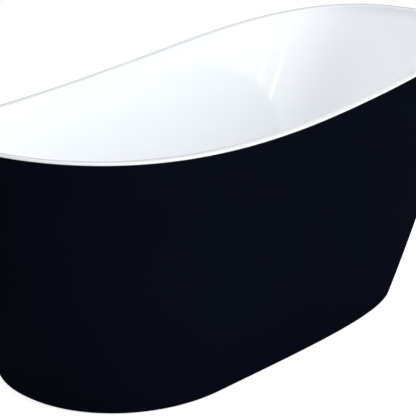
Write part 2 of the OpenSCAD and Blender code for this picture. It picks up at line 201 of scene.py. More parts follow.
def floor_height(x):
    return WASTE_Z + FLOOR_FALL * (x - WASTE_X)


def wall_points(top, corner, flat, t):
    """Straight from the rim while t is below 1, then curving into the floor."""
    bend = top + (corner - top) * (1 - CURVE_SHARE)
    if t <= 1:
        return top + (bend - top) * t
    q = t - 1
    return bend * (1 - q) ** 2 + corner * 2 * q * (1 - q) + flat * q * q


def face_points(u, t):
    """Ring on the basin's inner face."""
    corner, flat = well_plan(u, 0), flat_plan(u)
    return wall_points(rim_points(u, RIM_WIDTH, LIP), raised(corner, floor_height(corner[:, 0])),
                       raised(flat, floor_height(flat[:, 0])), t)


def back_points(u, t):
    """Ring on the basin's outer face, which ends level under the floor."""
    top = rim_points(u, RIM_WIDTH - BASIN_WALL - 0.001, LIP)
    return wall_points(top, raised(well_plan(u, BASIN_WALL), UNDERSIDE), raised(flat_plan(u), UNDERSIDE), t)


def even_angles(count):
    """Angles that space a ring's points evenly, and closer together at the foot end's middle."""
    fine = np.linspace(0, 2 * math.pi, 20001)
    steps = np.hypot(*np.diff(rim_plan(fine, 0), axis=0).T)
    middles = (fine[1:] + fine[:-1]) / 2
    crowding, reach = 2.2, 0.13
    steps *= 1 + crowding * np.exp(-((middles - math.pi) / reach) ** 2)
    travelled = np.concatenate([[0], np.cumsum(steps)])
    return np.interp(np.arange(count) / count * travelled[-1], travelled, fine)


ANGLES = even_angles(AROUND)
QUARTER = np.radians([0, 22.5, 45, 67.5, 90])
FOOT = np.array([math.pi])

# The overflow stands on the foot end's wall, which leans back from upright
foot_top = face_points(FOOT, 0)[0]
foot_bend = face_points(FOOT, 1)[0]
OVERFLOW_SHARE = (foot_top[2] - OVERFLOW_Z) / (foot_top[2] - foot_bend[2])
OVERFLOW = Vector(face_points(FOOT, OVERFLOW_SHARE)[0])
DOWN = Vector(foot_bend - foot_top).normalized()
ACROSS = Vector((0, 1, 0))
OUTWARD = DOWN.cross(ACROSS)


# ---- mesh shapes: each is (points, faces) ----

def skin(rings, looped):
    """Faces between rings of equal length. Looped rings close on each other; others get end caps."""
    count, total = len(rings[0]), len(rings)
    i = np.arange(count)
    k = (i + 1) % count
    faces = []
    for j in range(total if looped else total - 1):
        a, b = j * count, (j + 1) % total * count
        faces += np.stack([a + i, a + k, b + k, b + i], axis=1).tolist()
    if not looped:
        faces += [i[::-1].tolist(), (i + (total - 1) * count).tolist()]
    return np.concatenate(rings), faces


def place(shape, origin, z_axis=(0, 0, 1), x_axis=(1, 0, 0)):
    """The shape with its own Z and X turned to these axes, then moved to the origin given."""
    z = Vector(z_axis).normalized()
    y = z.cross(Vector(x_axis)).normalized()
    return shape[0] @ np.array([y.cross(z), y, z]) + np.array(origin), shape[1]


def placed(shapes, *where):
    """Each of the shapes placed alike."""
    return [place(shape, *where) for shape in shapes]


def spun(shape, angle):
    """The shape turned about Z."""
    return place(shape, (0, 0, 0), (0, 0, 1), (math.cos(angle), math.sin(angle), 0))


def soften(corners, radius, closed=True, steps=3):
    """The outline with a small curve at each corner."""
    out = []
    for i, corner in enumerate(corners):
        here = Vector(corner)
        if not closed and i in (0, len(corners) - 1):
            out.append(tuple(here))
            continue
        before, after = Vector(corners[i - 1]) - here, Vector(corners[(i + 1) % len(corners)]) - here
        reach = min(radius, before.length * 0.45, after.length * 0.45)
        start, end = here + before.normalized() * reach, here + after.normalized() * reach
        for s in np.linspace(0, 1, steps + 1):
            out.append(tuple(start * (1 - s) ** 2 + here * 2 * s * (1 - s) + end * s * s))
    return out


def offset(outline, distance):
    """The anticlockwise outline moved outwards by a distance."""
    points = np.array(outline)
    ahead = np.roll(points, -1, axis=0) - points
    ahead /= np.linalg.norm(ahead, axis=1)[:, None]
    normal = np.stack([ahead[:, 1], -ahead[:, 0]], axis=1)
    last = np.roll(normal, 1, axis=0)
    return points + (normal + last) / (1 + (normal * last).sum(axis=1))[:, None] * distance


def prism(outline, low, high, edge=0.0004, hole=None):
    """Upright solid with rounded rims. A hole has as many points as the outline."""
    turn = [(0, 1), (0.3, 0.3), (1, 0)]
    rises = [(low + edge * up, edge * inset) for up, inset in turn]
    rises += [(high - edge * up, edge * inset) for up, inset in reversed(turn)]
    rings = [raised(offset(outline, -inset), z) for z, inset in rises]
    if hole is not None:
        rings += [raised(offset(hole, inset), z) for z, inset in reversed(rises)]
    return skin(rings, hole is not None)


def rectangle(low, high, corner):
    """Outline with softened corners."""
    return soften([(low[0], low[1]), (high[0], low[1]), (high[0], high[1]), (low[0], high[1])], corner)


def block(low, high, corner=0.001, edge=0.0006):
    """Upright box with softened corners and edges."""
    return prism(rectangle(low, high, corner), low[2], high[2], edge)


def lathe(profile, around=64):
    """Solid turned about Z from (radius, height) points, closed or ending on the axis."""
    turn = np.arange(around) * 2 * math.pi / around
    rings = [raised(circle(r, turn), z) for r, z in profile]
    return skin(rings, profile[0][0] > 0)


def turned(corners, radius, around=64):
    """A lathe shape with softened corners."""
    return lathe(soften(corners, radius, closed=corners[0][0] > 0), around)


def hexagon(reach, low, high, bore=0.0, around=48):
    """Hexagonal nut or head, chamfered at both ends, whose corners are this far from its axis."""
    turn = np.arange(around) * 2 * math.pi / around
    sides = reach * math.cos(math.pi / 6) / np.cos((turn + math.pi / 6) % (math.pi / 3) - math.pi / 6)
    shoulder, slope, bevel = reach * 0.84, 0.5, 0.0006
    drop = (sides - shoulder) * slope
    edge = bore + bevel if bore else 0.0
    levels = [(edge, 0), (shoulder, 0), (sides, drop)]
    rows = [(r, low + rise) for r, rise in levels] + [(r, high - rise) for r, rise in reversed(levels)]
    if bore:
        rows += [(bore, high - bevel), (bore, low + bevel)]
    rings = [raised(circle(r, turn), z) for r, z in rows]
    return skin(rings, bore > 0)


def ridge(radius, low, high, pitch=THREAD_PITCH, steps=16):
    """The ridge of a right-handed screw thread."""
    root = radius - THREAD_DEPTH * pitch - 0.0001
    section = [(root, -0.44), (radius, -0.07), (radius, 0.07), (root, 0.44)]     # rises in pitches
    rings = []
    for k in range(int((high - low) / pitch * steps) + 1):
        a = k * 2 * math.pi / steps
        z = low + k * pitch / steps
        rings.append(np.array([(r * math.cos(a), r * math.sin(a), z + rise * pitch) for r, rise in section]))
    return skin(rings, False)


def sweep(path, radii, side, around=24):
    """Round bar along a path that lies in the plane across side."""
    path, side = np.array(path), np.array(side)
    ahead = np.gradient(path, axis=0)
    ahead /= np.linalg.norm(ahead, axis=1)[:, None]
    across = np.cross(ahead, side)
    turn = (np.arange(around) * 2 * math.pi / around)[:, None]
    rings = [p + r * (np.cos(turn) * side + np.sin(turn) * c) for p, r, c in zip(path, radii, across)]
    return skin(rings, False)


def bead(start, end, side, radius=0.0023):
    """Weld bead with a ripple for each drop of metal."""
    count, depth, taper = 25, 0.14, 0.45
    share = np.linspace(0, 1, count)[:, None]
    ripple = radius * (1 - depth + depth * np.abs(np.sin(np.arange(count) * math.pi / 3)))
    ripple[[0, -1]] *= taper
    return sweep(np.array(start) * (1 - share) + np.array(end) * share, ripple, side, around=10)


# ---- materials ----

class Finish:
    """A Principled material and short calls that wire nodes into it."""

    def __init__(self, name, **constants):
        self.material = bpy.data.materials.new(name)
        self.material.use_nodes = True
        self.tree = self.material.node_tree
        self.shader = self.tree.nodes["Principled BSDF"]
        for key, value in constants.items():
            self.shader.inputs[key.replace("_", " ")].default_value = value
        self.where = self.node("ShaderNodeTexCoord").outputs["Object"]

    def node(self, kind, **settings):
        made = self.tree.nodes.new(kind)
        for key, value in settings.items():
            setattr(made, key, value)
        return made

    def feed(self, socket, value):
        if isinstance(value, bpy.types.NodeSocket):
            self.tree.links.new(value, socket)
        else:
            socket.default_value = value

    def stretched(self, scale):
        mapping = self.node("ShaderNodeMapping")
        self.feed(mapping.inputs["Vector"], self.where)
        mapping.inputs["Scale"].default_value = scale
        return mapping.outputs["Vector"]

    def noise(self, scale, detail=3.0, stretch=(1, 1, 1), distortion=0.0):
        made = self.node("ShaderNodeTexNoise")
        self.feed(made.inputs["Vector"], self.stretched(stretch))
        made.inputs["Scale"].default_value = scale
        made.inputs["Detail"].default_value = detail
        made.inputs["Distortion"].default_value = distortion
        return made.outputs[0]

    def cells(self, scale, stretch=(1, 1, 1)):
        made = self.node("ShaderNodeTexVoronoi")
        self.feed(made.inputs["Vector"], self.stretched(stretch))
        made.inputs["Scale"].default_value = scale
        split = self.node("ShaderNodeSeparateXYZ")
        self.feed(split.inputs[0], made.outputs["Color"])
        return split.outputs[0]

    def spread(self, value, low, high, start=0.3, end=0.7):
        made = self.node("ShaderNodeMapRange")
        for key, number in (("Value", value), ("From Min", start), ("From Max", end),
                            ("To Min", low), ("To Max", high)):
            self.feed(made.inputs[key], number)
        return made.outputs["Result"]

    def mix(self, factor, first, second):
        made = self.node("ShaderNodeMix", data_type="RGBA")
        self.feed(made.inputs[0], factor)
        for socket, colour in ((made.inputs[6], first), (made.inputs[7], second)):
            self.feed(socket, colour if isinstance(colour, bpy.types.NodeSocket) else (*colour, 1))
        return made.outputs[2]

    def colour(self, factor, first, second):
        self.feed(self.shader.inputs["Base Color"], self.mix(factor, first, second))

    def rough(self, value, low, high):
        self.feed(self.shader.inputs["Roughness"], self.spread(value, low, high))

    def bump(self, *heights):
        """Each height is (value, depth in metres); later ones lie on earlier ones."""
        normal = None
        for value, depth in heights:
            made = self.node("ShaderNodeBump")
            made.inputs["Distance"].default_value = depth
            self.feed(made.inputs["Height"], value)
            if normal is not None:
                self.feed(made.inputs["Normal"], normal)
            normal = made.outputs["Normal"]
        self.feed(self.shader.inputs["Normal"], normal)


def acrylic_white():
    made = Finish("acrylic_white", Specular_IOR_Level=0.25, Coat_Weight=0.35, Coat_Roughness=0.04)
    clouds = made.noise(5, 2)
    made.colour(clouds, (0.905, 0.925, 0.95), (0.93, 0.945, 0.965))
    made.rough(made.noise(18, 4), 0.05, 0.09)
    made.bump((made.noise(7, 1), 0.0012), (made.noise(260, 2), 0.00002))
    return made.material


def acrylic_dark():
    made = Finish("acrylic_dark", Specular_IOR_Level=0.0, Coat_Weight=0.006, Coat_Roughness=0.3)
    made.colour(made.noise(4, 3), (0.0022, 0.0032, 0.0068), (0.0028, 0.0042, 0.0086))
    made.rough(made.noise(22, 5), 0.24, 0.36)
    made.bump((made.noise(5, 1), 0.0012), (made.noise(300, 2), 0.00003))
    return made.material


def glass_fibre():
    made = Finish("glass_fibre", Specular_IOR_Level=0.4)
    strands = made.noise(110, 8, (1, 1, 1), 1.2)
    tint = made.mix(made.spread(made.noise(7, 3), 0, 1), (0.62, 0.60, 0.51), (0.70, 0.69, 0.61))
    made.colour(made.spread(strands, 0, 1, 0.4, 0.62), tint, (0.80, 0.79, 0.73))
    made.rough(made.noise(40, 4), 0.45, 0.7)
    made.bump((strands, 0.0010), (made.noise(420, 3), 0.0002))
    return made.material


def adhesive():
    made = Finish("adhesive")
    made.colour(made.noise(60), (0.10, 0.10, 0.105), (0.16, 0.16, 0.165))
    made.rough(made.noise(200), 0.5, 0.7)
    made.bump((made.noise(500, 2), 0.0001))
    return made.material


def board():
    made = Finish("board", Specular_IOR_Level=0.3)
    chips = made.cells(260, (0.5, 1, 1))
    plies = made.noise(1, 2, (3, 3, 700))
    tint = made.mix(chips, (0.50, 0.34, 0.19), (0.68, 0.50, 0.31))
    made.colour(made.spread(plies, 0, 0.5, 0.4, 0.62), tint, (0.40, 0.26, 0.14))
    made.rough(made.noise(150), 0.55, 0.75)
    made.bump((chips, 0.0002), (made.noise(900, 3), 0.0001))
    return made.material


def timber():
    made = Finish("timber", Specular_IOR_Level=0.3)
    grain = made.noise(14, 5, (1.2, 9, 9), 1.2)
    fibres = made.noise(260, 3, (0.06, 1, 1))
    tint = made.mix(made.spread(grain, 0, 1, 0.35, 0.65), (0.42, 0.25, 0.12), (0.66, 0.46, 0.26))
    made.colour(made.spread(fibres, 0, 0.5, 0.45, 0.75), tint, (0.30, 0.17, 0.08))
    made.rough(fibres, 0.5, 0.75)
    made.bump((fibres, 0.0003), (grain, 0.0003))
    return made.material


def galvanised_steel():
    made = Finish("galvanised_steel", Metallic=1.0)
    spangle = made.cells(110)
    made.colour(spangle, (0.44, 0.46, 0.48), (0.66, 0.68, 0.70))
    made.rough(spangle, 0.28, 0.5)
    made.bump((spangle, 0.00006), (made.noise(500, 3), 0.00005))
    return made.material


def plated(name, dark, light, low, high):
    made = Finish(name, Metallic=1.0)
    made.colour(made.noise(90, 5), dark, light)
    made.rough(made.noise(240, 4), low, high)
    made.bump((made.noise(900, 3), 0.00003))
    return made.material


def chrome():
    made = Finish("chrome", Metallic=1.0)
    made.colour(made.noise(20), (0.80, 0.81, 0.83), (0.86, 0.87, 0.89))
    made.rough(made.noise(1200, 2, (1, 0.08, 1)), 0.035, 0.09)
    made.bump((made.noise(60, 1), 0.00003))
    return made.material


def moulded(name, dark, light, low, high, grain):
    """Moulded plastic or rubber: cloudy colour and a fine grain."""
    made = Finish(name, Specular_IOR_Level=0.4)
    made.colour(made.noise(40, 3), dark, light)
    made.rough(made.noise(160, 4), low, high)
    made.bump((made.noise(1400, 2), grain), (made.noise(30, 1), grain))
    return made.material


FINISHES = {
    "acrylic_white": acrylic_white(),
    "acrylic_dark": acrylic_dark(),
    "adhesive": adhesive(),
    "board": board(),
    "timber": timber(),
    "galvanised_steel": galvanised_steel(),
    "zinc_plated": plated("zinc_plated", (0.55, 0.57, 0.60), (0.72, 0.74, 0.76), 0.22, 0.38),
    "screw_zinc": plated("screw_zinc", (0.60, 0.50, 0.26), (0.76, 0.68, 0.42), 0.25, 0.42),
    "black_plastic": moulded("black_plastic", (0.012, 0.012, 0.013), (0.022, 0.022, 0.024),
                             0.4, 0.6, 0.00008),
    "rubber": moulded("rubber", (0.010, 0.010, 0.010), (0.020, 0.019, 0.018), 0.65, 0.85, 0.00012),
    "chrome": chrome(),
    "brass": plated("brass", (0.62, 0.45, 0.19), (0.76, 0.60, 0.30), 0.2, 0.35),
    "white_plastic": moulded("white_plastic", (0.78, 0.79, 0.77), (0.86, 0.87, 0.85), 0.3, 0.45, 0.00005),
}
GLASS_FIBRE = glass_fibre()


# ---- pieces ----

def add(name, data):
    """A new object in the scene."""
    made = bpy.data.objects.new(name, data)
    bpy.context.scene.collection.objects.link(made)
    return made


def clean(mesh):
    """Joins doubled points and turns the faces outwards."""
    fix = bmesh.new()
    fix.from_mesh(mesh)
    bmesh.ops.remove_doubles(fix, verts=fix.verts, dist=1e-7)
    bmesh.ops.recalc_face_normals(fix, faces=fix.faces)
    fix.to_mesh(mesh)
    fix.free()


def make(name, shapes, body, nodes, slot, sharp=38, marks=None):
    """One piece from several shapes. It stands for CAD nodes and rides on a body."""
    points, faces, start = [], [], 0
    for shape_points, shape_faces in shapes:
        points.append(shape_points)
        faces += [[start + i for i in face] for face in shape_faces]
        start += len(shape_points)
    mesh = bpy.data.meshes.new(name)
    mesh.from_pydata(np.concatenate(points).tolist(), [], faces)
    mesh.materials.append(FINISHES[slot])
    if marks is not None:
        mesh.materials.append(GLASS_FIBRE)
        mesh.polygons.foreach_set("material_index", marks)
    clean(mesh)
    mesh.shade_smooth()
    mesh.set_sharp_from_angle(angle=math.radians(sharp))
    piece = add(name, mesh)
    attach(piece, body)
    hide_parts(*nodes)
    return piece


def cut(piece, shape, sharp):
    """Cuts the shape out of the piece's mesh."""
    points, faces = shape
    cutter = add("cutter", bpy.data.meshes.new("cutter"))
    cutter.data.from_pydata(points.tolist(), [], faces)
    clean(cutter.data)
    modifier = piece.modifiers.new("cut", "BOOLEAN")
    modifier.object = cutter
    modifier.solver = "EXACT"
    bpy.context.view_layer.update()
    solved = piece.evaluated_get(bpy.context.evaluated_depsgraph_get())
    mesh = bpy.data.meshes.new_from_object(solved)
    piece.modifiers.clear()
    piece.data = mesh
    mesh.set_sharp_from_angle(angle=math.radians(sharp))
    bpy.data.objects.remove(cutter)


def press_flat(points, level):
    """Moves a wall's points round the overflow onto a flat that stands at this level."""
    away = points - np.array(OVERFLOW)
    height = away @ np.array(OUTWARD)
    distance = np.hypot(away @ np.array(DOWN), away[:, 1])
    fade, depth = 0.016, 0.03
    share = np.clip((distance - OVERFLOW_FLAT_R) / fade, 0, 1)
    pull = np.where(np.abs(height) < depth, 1 - share * share * (3 - 2 * share), 0)
    return points + ((level - height) * pull)[:, None] * np.array(OUTWARD)


def wall_shares():
    """Shares down the basin's wall, closer together round the overflow."""
    reach = 0.16
    near = OVERFLOW_SHARE - reach, OVERFLOW_SHARE + reach
    return np.concatenate([np.linspace(0, near[0], 5)[:-1], np.linspace(*near, 27),
                           np.linspace(near[1], 1, 5)[1:], np.linspace(1, 2, 13)[1:]])


def round_waste(radius, z=None):
    """Ring round the waste whose points face the floor's edge, at a height or on the floor."""
    edge = flat_plan(ANGLES)
    turn = np.arctan2(edge[:, 1], edge[:, 0] - WASTE_X)
    ring = circle(radius, turn) + [WASTE_X, 0]
    return raised(ring, floor_height(ring[:, 0]) if z is None else z)


def between(first, second, count):
    """Rings between two rings, without the first one."""
    return [first + (second - first) * share for share in np.linspace(0, 1, count + 1)[1:]]


def rim_rings():
    """Rings over the rolled rim, from the lip's lower edge to the basin's inner face."""
    outer, inner = 0.002, 0.0028
    profile = [(0.0005, LIP), (0.00012, LIP - 0.00015), (0, LIP - 0.0006)]
    profile += [(outer * (1 - math.cos(a)), outer * (1 - math.sin(a))) for a in QUARTER]
    profile += [(RIM_WIDTH - inner + inner * math.sin(a), inner * (1 - math.cos(a))) for a in QUARTER[:-1]]
    return [rim_points(ANGLES, inset, drop) for inset, drop in profile]


def recess_rings():
    """Rings over the recess's rounded edge, down its side, and over its bottom to the hole."""
    edge = 0.0015
    rounded = [round_waste(RECESS_R + edge * (1 - math.sin(a))) - [0, 0, edge * (1 - math.cos(a))]
               for a in QUARTER]
    steps = ((RECESS_R, RECESS_Z + 0.001), (RECESS_R - 0.001, RECESS_Z),
             (WASTE_HOLE_R + 0.0005, RECESS_Z), (WASTE_HOLE_R, RECESS_Z - 0.0005))
    return rounded + [round_waste(r, z) for r, z in steps]


def basin():
    shares = wall_shares()
    back = [press_flat(back_points(ANGLES, t), -BASIN_WALL - OVERFLOW_PROUD) for t in reversed(shares)]
    under = [round_waste(WASTE_HOLE_R, UNDERSIDE)]
    under += between(under[0], back[0], 8)[:-1]
    face = [press_flat(face_points(ANGLES, t), OVERFLOW_PROUD) for t in shares]
    recess = recess_rings()
    bottom = between(face[-1], recess[0], 10)[:-1]
    rings = under + back + rim_rings() + face + bottom + recess
    rear = len(under) + len(back)
    marks = [int(j < rear) for j in range(len(rings)) for _ in range(AROUND)]
    piece = make("basin", [skin(rings, True)], "tub", ["inner_tub"], "acrylic_white", 50, marks)
    reach = 0.03
    hole = lathe([(0, -reach), (OVERFLOW_HOLE_R, -reach), (OVERFLOW_HOLE_R, reach), (0, reach)])
    askew = DOWN + 0.03 * ACROSS              # keeps the hole's edges off the basin's own points
    cut(piece, place(hole, OVERFLOW, OUTWARD, askew), 50)


def skirt():
    outside = [(0, 0.0015), (0.0007, 0.00045), (0.0025, 0)] + [(t, 0) for t in np.linspace(0.03, 1, 26)]
    inside = [(t, SKIRT_WALL) for t in np.linspace(1, 0.004, 14)]
    inside += [(0.0012, SKIRT_WALL - 0.0005), (0, SKIRT_WALL - 0.0015)]
    rings = [skirt_points(ANGLES, t, REVEAL + inset) for t, inset in outside + inside]
    first, last = len(outside), len(rings)
    marks = [int(first <= j < last - 1) for j in range(last) for _ in range(AROUND)]
    make("skirt", [skin(rings, True)], "tub", ["outer_shell"], "acrylic_dark", 50, marks)


def bond_line():
    """Thin bead between the lip and the skirt."""
    gap = BOND / 5
    high, low = LIP + gap, LIP + BOND - gap
    edges = [(0, high), (SKIRT_WALL, high), (SKIRT_WALL, low), (0, low)]
    rings = [rim_points(ANGLES, REVEAL + inset, drop) for inset, drop in edges]
    make("bond_line", [skin(rings, True)], "tub", ["rim_adhesive"], "adhesive")


def timber_ring():
    low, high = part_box("shell_base_ring")
    outer = BASE_WIDTH / 2 - high.y
    width = 0.025
    profile = soften([(outer, low.z), (outer, high.z),
                      (outer + width, high.z), (outer + width, low.z)], 0.0015)
    rings = [raised(base_plan(ANGLES, inset), z) for inset, z in profile]
    make("timber_ring", [skin(rings, True)], "tub", ["shell_base_ring"], "timber")


def base_board():
    """Board a little smaller than the floor's flat part, cut off before the waste."""
    low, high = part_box("base_board")
    outline = flat_plan(ANGLES, FLAT_SHARE - 0.02)
    kept = outline[outline[:, 0] > BOARD_START + 0.001]
    upper, lower = kept[kept[:, 1] >= 0], kept[kept[:, 1] < 0]
    ends = [np.interp(BOARD_START, part[:, 0], part[:, 1]) for part in
            (outline[outline[:, 1] > 0][::-1], outline[outline[:, 1] < 0])]
    edge = np.concatenate([upper, [[BOARD_START, ends[0]], [BOARD_START, ends[1]]], lower])
    make("underside_board", [prism(edge, low.z, high.z, 0.0008)], "tub", ["base_board"], "board")


def packing_blocks():
    low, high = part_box("packing_blocks")
    depth = 2 * (high.y - RAIL_Y)
    shapes = [block((low.x, side * RAIL_Y - depth / 2, low.z), (high.x, side * RAIL_Y + depth / 2, high.z))
              for side in (-1, 1)]
    make("support_blocks", shapes, "tub", ["packing_blocks"], "timber")


def square_tube(length):
    """Rounded square tube from 0 to its length along its own Z."""
    wall = 0.002
    half = TUBE / 2
    outer = rectangle((-half, -half), (half, half), 0.003)
    inner = rectangle((wall - half, wall - half), (half - wall, half - wall), 0.0015)
    return prism(outer, 0, length, 0.0003, inner)


def bar_end(x):
    """Distance from the middle plane to the end of the cross bar at x."""
    points = frame["nodes"]["bar_end_plates"].data.vertices
    return max(p.co.y for p in points if abs(p.co.x - x) < TUBE)


def rails():
    length = RAIL_HIGH.x - RAIL_LOW.x
    middle = RAIL_LOW.z + TUBE / 2
    shapes = [place(square_tube(length), (RAIL_LOW.x, side * RAIL_Y, middle), (1, 0, 0), (0, 1, 0))
              for side in (-1, 1)]
    make("cradle_rails", shapes, "tub", ["frame_rails"], "galvanised_steel")


def cross_bars():
    """Cross tubes with a weld along each side of both rails."""
    reach = TUBE / 2 - 0.002
    shapes = []
    for x in BAR_X:
        end = bar_end(x) - END_PLATE
        shapes.append(place(square_tube(2 * end), (x, -end, BAR_BOTTOM + TUBE / 2), (0, 1, 0)))
        for y in (-RAIL_Y - TUBE / 2, TUBE / 2 - RAIL_Y, RAIL_Y - TUBE / 2, RAIL_Y + TUBE / 2):
            shapes.append(bead((x - reach, y, BAR_TOP), (x + reach, y, BAR_TOP), (0, 1, 0)))
    make("cradle_cross_bars", shapes, "tub", ["frame_cross_bars"], "galvanised_steel")


def at_bar_ends(shape):
    """The shape at both ends of every cross bar, with its own X outwards and its Z up."""
    return [place(shape, (x, side * bar_end(x), 0), (0, 0, 1), (0, side, 0))
            for x in BAR_X for side in (-1, 1)]


def end_plates():
    """Plates that close the cross tubes, each with a weld above and below."""
    half = TUBE / 2
    plate = prism(rectangle((-half, -half), (half, half), 0.002), -END_PLATE, 0, 0.0004)
    upright = place(plate, (0, 0, BAR_BOTTOM + half), (1, 0, 0), (0, 1, 0))
    reach = half - 0.002
    seams = []
    for level in (BAR_BOTTOM, BAR_BOTTOM + TUBE):
        seams.append(bead((-END_PLATE, -reach, level), (-END_PLATE, reach, level), (1, 0, 0), 0.0016))
    shapes = [piece for shape in [upright, *seams] for piece in at_bar_ends(shape)]
    make("bar_end_plates_welded", shapes, "tub", ["bar_end_plates"], "galvanised_steel")


def rail_end_caps():
    """Plastic caps whose grips fill the rails' ends."""
    low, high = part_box("rail_end_caps")
    half = TUBE / 2
    lid = RAIL_LOW.x - low.x
    cap = prism(rectangle((-half, -half), (half, half), 0.004), 0, lid, 0.001)
    inside = half - 0.0021
    grip = prism(rectangle((-inside, -inside), (inside, inside), 0.002), -0.012, 0)
    shapes = []
    for x, out in ((RAIL_LOW.x, -1), (RAIL_HIGH.x, 1)):
        for side in (-1, 1):
            centre = (x, side * RAIL_Y, RAIL_LOW.z + half)
            shapes += placed((cap, grip), centre, (out, 0, 0), (0, 1, 0))
    make("rail_caps", shapes, "tub", ["rail_end_caps"], "black_plastic")


def screw(head_z, tip_z):
    """Wood screw with a socket: its head is at the first height and its tip at the second."""
    way = 1 if tip_z > head_z else -1
    wide, thick, core, thread, point = 0.005, 0.003, 0.0019, 0.0024, 0.004
    recess = [(0, 0.0016), (0.0013, 0.0016), (0.0016, 0)]
    head = turned(recess + [(0.0034, 0), (wide, 0.0022), (wide, thick), (0, thick)], 0.0005, 32)
    reach = abs(tip_z - head_z)
    shank = turned([(0, 0.002), (core, 0.002), (core, reach - point), (0, reach)], 0.0003, 16)
    worm = ridge(thread, 0.008, reach - point, 0.002, 10)
    return placed((head, shank, worm), (0, 0, head_z), (0, 0, way))


def frame_screws():
    low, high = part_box("frame_screws")
    parts = screw(low.z, high.z)
    places = [(x, side * RAIL_Y, 0) for x in SCREW_X for side in (-1, 1)]
    shapes = [shape for at in places for shape in placed(parts, at)]
    make("cradle_screws", shapes, "tub", ["frame_screws"], "screw_zinc")


def foot_nuts():
    for name, node in (("weld_nuts", "foot_weld_nuts"), ("lock_nuts", "foot_lock_nuts")):
        low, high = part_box(node)
        nut = hexagon(0.011, low.z, high.z, 0.00605)
        make(name, [place(nut, (foot.x, foot.y, 0)) for foot in FEET], "tub", [node], "zinc_plated", 30)


def brackets():
    """Angles between the cross bars and the timber ring."""
    low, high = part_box("shell_brackets")
    width, reach = 0.020, 0.024
    corners = [(0, low.z), (reach, low.z), (reach, low.z + BRACKET),
               (BRACKET, low.z + BRACKET), (BRACKET, high.z), (0, high.z)]
    angle = prism(soften(corners, 0.0025), -width / 2, width / 2, 0.0004)
    lying = place(angle, (0, 0, 0), (0, -1, 0), (1, 0, 0))
    make("skirt_brackets", at_bar_ends(lying), "tub", ["shell_brackets"], "galvanised_steel")


def bracket_fasteners():
    """A bolt and washer, and a wood screw, in each bracket."""
    level = BAR_TOP - TUBE / 2
    head = hexagon(0.0058, 0.0008, 0.004)
    washer = turned([(0, 0), (0.0056, 0), (0.0056, 0.001), (0, 0.001)], 0.0002, 32)
    shank = turned([(0, -0.015), (0.003, -0.015), (0.003, 0), (0, 0)], 0.0004, 24)
    bolt = placed((head, washer, shank), (BRACKET, 0, level), (1, 0, 0), (0, 1, 0))
    make("bracket_hex_bolts", [shape for part in bolt for shape in at_bar_ends(part)], "tub",
         ["bracket_bolts"], "zinc_plated", 30)
    low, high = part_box("bracket_screws")
    out = 0.0144                              # from the bar's end to the screw
    parts = placed(screw(high.z, low.z), (out, 0, 0))
    shapes = [shape for part in parts for shape in at_bar_ends(part)]
    make("bracket_wood_screws", shapes, "tub", ["bracket_screws"], "screw_zinc")


def stud(i, at):
    """Threaded rod with a hexagon for the spanner."""
    low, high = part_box(f"foot_stud_{i}")
    radius = 0.006
    root = radius - THREAD_DEPTH * THREAD_PITCH
    rod = turned([(0, low.z), (root, low.z), (root, high.z), (0, high.z)], 0.0006, 32)
    thread = ridge(radius, low.z + 0.002, high.z - 0.002)
    collar = hexagon(0.010, 0.0163, 0.0243)
    make(f"threaded_stud_{i}", placed((rod, thread, collar), at), f"stud_{i}", [f"foot_stud_{i}"],
         "zinc_plated", 30)


def pad(i, at):
    """Round pad with a hub for the stud and eight ribs."""
    low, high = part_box(f"foot_pad_{i}")
    wide, hub, bore = (high.x - low.x) / 2, 0.012, 0.00605
    disc = turned([(bore, low.z), (wide, low.z), (wide, low.z + 0.003), (wide / 2, low.z + 0.009),
                   (hub, high.z), (bore, high.z)], 0.002)
    side = soften([(hub - 0.001, low.z + 0.002), (wide - 0.003, low.z + 0.002),
                   (wide - 0.003, low.z + 0.0035), (hub, high.z - 0.001),
                   (hub - 0.001, high.z - 0.001)], 0.001)
    rib = place(prism(side, -0.0009, 0.0009, 0.0003), (0, 0, 0), (0, -1, 0))
    ribs = [spun(rib, k * math.pi / 4) for k in range(8)]
    make(f"levelling_pad_{i}", placed((disc, *ribs), at), f"foot_{i}", [f"foot_pad_{i}"],
         "black_plastic")


def sole(i, at):
    """Rubber disc with three grooves underneath."""
    low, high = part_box(f"foot_sole_{i}")
    wide = (high.x - low.x) / 2
    profile = [(0, 0)]
    for start in (0.004, 0.010, 0.016):
        end, depth = start + 0.002, 0.0008
        profile += [(start, 0), (start, depth), (end, depth), (end, 0)]
    profile += [(wide - 0.001, 0), (wide, 0.001), (wide, high.z), (0, high.z)]
    make(f"rubber_sole_{i}", [place(turned(profile, 0.0004), at)], f"foot_{i}", [f"foot_sole_{i}"],
         "rubber")


def feet():
    for i, foot in enumerate(FEET, 1):
        for part in (stud, pad, sole):
            part(i, (foot.x, foot.y, 0))


def waste():
    """Flanged ring in the floor, with a thread below and a cross that carries the plug's hub."""
    tail, bore, flange, lip = 0.024, 0.0205, 0.035, 0.0015
    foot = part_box("waste_flange")[0].z
    ring = turned([(bore, foot), (tail, foot), (tail, RECESS_Z + lip), (flange, RECESS_Z + lip),
                   (flange, WASTE_Z - 0.001), (flange - 0.001, WASTE_Z), (WASTE_HOLE_R, WASTE_Z),
                   (bore, WASTE_Z - 0.003)], 0.0008, 96)
    thread = ridge(tail, foot + 0.002, UNDERSIDE - 0.003, 0.002, 48)
    low = UNDERSIDE - 0.009
    high = low + 0.010
    core, wall = 0.00505, 0.008
    hub = turned([(core, low), (wall, low), (wall, high), (core, high)], 0.0006, 48)
    arms = [block((-a, -b, low + 0.003), (a, b, low + 0.008)) for a, b in ((0.022, 0.0015), (0.0015, 0.022))]
    make("waste_ring", placed((ring, thread, hub, *arms), AT_WASTE), "tub", ["waste_flange"], "chrome")


